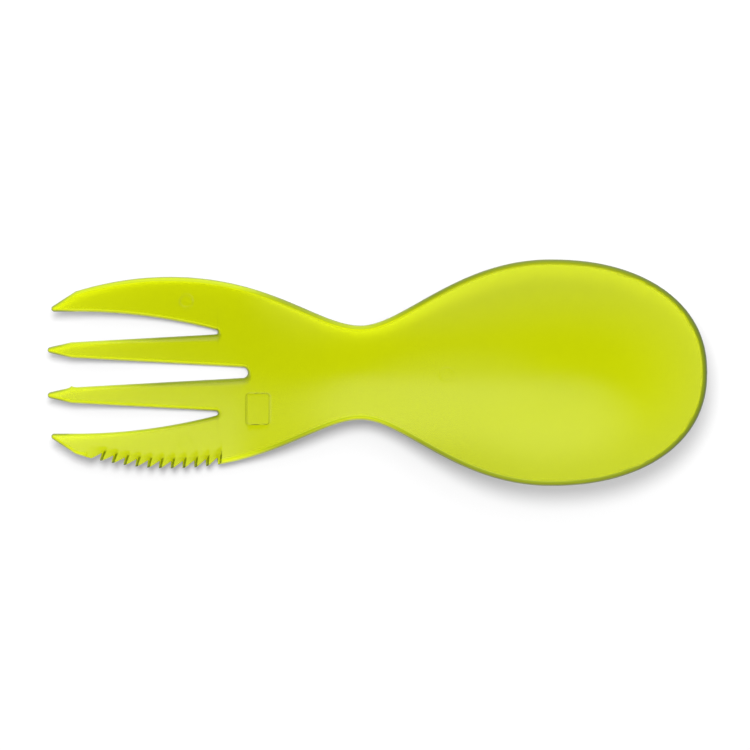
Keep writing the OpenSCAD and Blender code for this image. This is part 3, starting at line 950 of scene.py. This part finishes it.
# %% The colour and gloss of the faces and the edges
SATIN_ROUGHNESS, EDGE_ROUGHER, CLEARNESS = (0.16, 0.22), 0.25, 0.84
flat_colour = add_node(tree, "ShaderNodeMix", COLOUR_MIX, cloud, linear(LIME), linear(LIME_DEEP))
# Steep faces take the painted steep shade.
face_colour = add_node(tree, "ShaderNodeMix", COLOUR_MIX, level_face, linear(LIME_PAINTED_STEEP_SHADE), flat_colour)
# Edge colour: painted shade on edges facing the lamp, a painted glow on edges turned away from it.
edge_shade_and_glow = add_node(tree, "ShaderNodeMix", COLOUR_MIX, away_from_lamp, linear(EDGE_SHADED_LAMP_SIDE), linear(EDGE_PAINTED_GLOW))
lit_colour = add_node(tree, "ShaderNodeMix", COLOUR_MIX, on_edge, face_colour, edge_shade_and_glow)
satin = add_node(tree, "ShaderNodeMapRange", SOFT_RAMP, grain, 0.0, 1.0, *SATIN_ROUGHNESS)
# Base colour: the painted olive shade where the painted shade is deep, the lit colours elsewhere.
surface = add_node(
    tree,
    "ShaderNodeBsdfPrincipled",
    Base_Color=add_node(tree, "ShaderNodeMix", COLOUR_MIX, painted_light, linear(PAINTED_SHADE_OLIVE), lit_colour),
    Roughness=add_node(tree, "ShaderNodeMath", {"operation": "MULTIPLY_ADD"}, on_edge, EDGE_ROUGHER, satin),
    Normal=bump,
    IOR=1.57,
    Specular_IOR_Level=0.5,
    Transmission_Weight=add_node(
        tree, "ShaderNodeMath", {"operation": "MULTIPLY_ADD"}, on_edge, -CLEARNESS, CLEARNESS
    ),
)
print("faces", LIME, "edges", EDGE_SHADED_LAMP_SIDE, "and", EDGE_PAINTED_GLOW, "deep walls", PAINTED_SHADE_OLIVE)

# %% [markdown]
# Part of the light that falls on the plastic reaches the table through it. Tracing that light through glass
# is slow and grainy. So the plastic is satin glass for the eye, and a plain grey filter for the lamps and
# for light that leaves the table. The bowl stands higher than the fork and would cast the heavier shadow,
# so it is made the clearer of the two.

# %% Light through the plastic
FORK_CLEAR, BOWL_CLEAR = 0.52, 0.66
along = add_node(tree, "ShaderNodeSeparateXYZ", Vector=place).outputs["X"]
clear = add_node(tree, "ShaderNodeMapRange", SOFT_RAMP, along, 0.0, x_bowl * MM, FORK_CLEAR, BOWL_CLEAR)
filtered = add_node(tree, "ShaderNodeBsdfTransparent", Color=clear)
ray = add_node(tree, "ShaderNodeLightPath").outputs
for_light = add_node(
    tree, "ShaderNodeMath", {"operation": "MAXIMUM"}, ray["Is Shadow Ray"], ray["Is Diffuse Ray"]
)
either = add_node(tree, "ShaderNodeMixShader", None, for_light, surface, filtered)
add_node(tree, "ShaderNodeOutputMaterial", Surface=either)
moulding_mesh.materials.append(plastic)
print("material:", plastic.name, "with", len(tree.nodes), "nodes")

# %% [markdown]
# The finished piece is tied to the solid model: it rides on the one rigid body, stands in for all seven
# solids, because the real moulding has no seams between them, and carries the name of its plastic.

# %% Put the moulding in the frame
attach(moulding, "root")
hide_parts(*frame["nodes"])
print("stands for:", ", ".join(sorted(frame["nodes"])))

# %% [markdown]
# ## The studio
#
# A catalogue photograph of cutlery is taken from straight above on white paper. White walls all round give
# the soft light near the rim, a large soft box behind gives the broad light in the lower half of the bowl,
# a weaker one stands beyond the bowl's nose, and the dark camera overhead leaves the calm middle. A round
# lamp near the camera draws the short shadow. Paper that is seen through the plastic gets a little glow of
# its own, for the light that spreads inside real plastic and isn't traced here. It gets more under the
# fork, where the filter is darker.

# %% White paper
PAPER, PULP_MM, PULP_HEIGHT_MM = "#F2F2F2", 0.8, 0.02
FORK_GLOW, BOWL_GLOW = 0.44, 0.3
paper = bpy.data.materials.new("white_paper")
paper.use_nodes = True
tree = paper.node_tree
tree.nodes.clear()
ray = add_node(tree, "ShaderNodeLightPath").outputs
pulp = add_node(tree, "ShaderNodeTexNoise", Scale=1 / (PULP_MM * MM), Detail=4.0)
pulp_bump = add_node(tree, "ShaderNodeBump", Height=pulp, Strength=0.02, Distance=PULP_HEIGHT_MM * MM)
fibre = add_node(tree, "ShaderNodeBsdfDiffuse", Color=linear(PAPER), Normal=pulp_bump)
spot = add_node(tree, "ShaderNodeTexCoord").outputs["Object"]
along = add_node(tree, "ShaderNodeSeparateXYZ", Vector=spot).outputs["X"]
below = add_node(tree, "ShaderNodeMapRange", SOFT_RAMP, along, 0.0, x_bowl * MM, FORK_GLOW, BOWL_GLOW)
seen = add_node(tree, "ShaderNodeMath", {"operation": "MULTIPLY"}, below, ray["Is Transmission Ray"])
glow = add_node(tree, "ShaderNodeEmission", Strength=seen)
both = add_node(tree, "ShaderNodeAddShader", None, fibre, glow)
add_node(tree, "ShaderNodeOutputMaterial", Surface=both)
print("paper:", len(tree.nodes), "nodes")

# %% Floor
FLOOR_REACH, FLOOR_DROP = 6.0, 0.05 * MM
floor_mesh = bpy.data.meshes.new("paper_floor")
quarters = [(-1, -1), (1, -1), (1, 1), (-1, 1)]
corners = [(sx * FLOOR_REACH, sy * FLOOR_REACH, -FLOOR_DROP) for sx, sy in quarters]
floor_mesh.from_pydata(corners, [], [(0, 1, 2, 3)])
floor = bpy.data.objects.new("paper_floor", floor_mesh)
floor_mesh.materials.append(paper)
bpy.context.scene.collection.objects.link(floor)
print(f"floor {2 * FLOOR_REACH:.0f} m wide")


# %% Studio light
KEY, FILL, ROOM = 0.95, 0.45, 0.55
ROOM_HEIGHTS = (0.14, 0.92)


def direction(azimuth, off_vertical):
    """A direction from angles in degrees: round from +X towards +Y, and down from overhead."""
    a, b = math.radians(azimuth), math.radians(off_vertical)
    return (math.cos(a) * math.sin(b), math.sin(a) * math.sin(b), math.cos(b))


world = bpy.data.worlds.new("studio")
bpy.context.scene.world = world
world.use_nodes = True
tree = world.node_tree
tree.nodes.clear()
looking = add_node(tree, "ShaderNodeTexCoord").outputs["Generated"]


def soft_box(azimuth, off_vertical, core, reach, radiance):
    """A round light in the sky: even inside its core angle, fading to nothing at its reach."""
    middle = direction(azimuth, off_vertical)
    nearness = add_node(tree, "ShaderNodeVectorMath", {"operation": "DOT_PRODUCT"}, looking, middle)
    border = [math.cos(math.radians(angle)) for angle in (reach, core)]
    return add_node(tree, "ShaderNodeMapRange", SOFT_RAMP, nearness, *border, 0.0, radiance)


key = soft_box(azimuth=83, off_vertical=37, core=3, reach=43, radiance=KEY)
fill = soft_box(azimuth=8, off_vertical=40, core=6, reach=41, radiance=FILL)
lamps = add_node(tree, "ShaderNodeMath", {"operation": "ADD"}, key, fill)
height = add_node(tree, "ShaderNodeSeparateXYZ", Vector=looking).outputs["Z"]
room = add_node(tree, "ShaderNodeMapRange", SOFT_RAMP, height, *ROOM_HEIGHTS, ROOM, 0.0)
level = add_node(tree, "ShaderNodeMath", {"operation": "ADD"}, lamps, room)
sky = add_node(tree, "ShaderNodeBackground", Color=(1, 1, 1, 1), Strength=level)
add_node(tree, "ShaderNodeOutputWorld", Surface=sky)
print("sky:", len(tree.nodes), "nodes")

# %% [markdown]
# The round lamp is there for the shadow alone. It is hidden from gloss and from what is seen through the
# plastic, so it leaves no bright spot on the piece.

# %% Lamp for the shadow
LAMP_LEVEL, LAMP_DISTANCE, LAMP_WIDTH = 0.85, 1.2, 0.5
LAMP_AZIMUTH, LAMP_OFF_VERTICAL = 105, 15
towards_lamp = Vector(direction(LAMP_AZIMUTH, LAMP_OFF_VERTICAL))
lamp_data = bpy.data.lights.new("shadow_lamp", "AREA")
lamp_data.shape = "DISK"
lamp_data.size = LAMP_WIDTH
lamp_data.energy = LAMP_LEVEL * (math.pi * LAMP_DISTANCE) ** 2
lamp = bpy.data.objects.new("shadow_lamp", lamp_data)
lamp.location = towards_lamp * LAMP_DISTANCE
lamp.rotation_mode = "QUATERNION"
lamp.rotation_quaternion = towards_lamp.to_track_quat("Z", "Y")
lamp.visible_glossy = False
lamp.visible_transmission = False
bpy.context.scene.collection.objects.link(lamp)
bpy.context.scene.view_settings.view_transform = "Standard"
print(f"lamp of {lamp_data.energy:.1f} W")

# %% [markdown]
# ## The camera
#
# The photograph is taken from straight above, from so far away that near and far edges show at one scale.
# A long lens does that. The picture is 750 pixels wide, and the object's length spans a known part of it,
# so the lens follows from the length. The outline is taken to lie 7 mm above the table, which is between
# the rim of the bowl and the tines.

# %% Camera
PICTURE_PX, LENGTH_PX = 750, 659.5
MIDDLE_PX = (377.05, 372.65)
mm_per_px = (x_nose - x_tips) / LENGTH_PX
camera_data = bpy.data.cameras.new("overhead")
camera = bpy.data.objects.new("overhead", camera_data)
camera_distance, outline_height, sensor_mm = 2.5, 7 * MM, 36
camera_data.sensor_width = sensor_mm
camera_data.lens = sensor_mm * (camera_distance - outline_height) / (PICTURE_PX * mm_per_px * MM)
camera.location = (
    (PICTURE_PX / 2 - MIDDLE_PX[0]) * mm_per_px * MM,
    (MIDDLE_PX[1] - PICTURE_PX / 2) * mm_per_px * MM,
    camera_distance,
)
bpy.context.scene.collection.objects.link(camera)
bpy.context.scene.camera = camera
print(f"lens {camera_data.lens:.0f} mm, {mm_per_px:.4f} mm to a pixel")
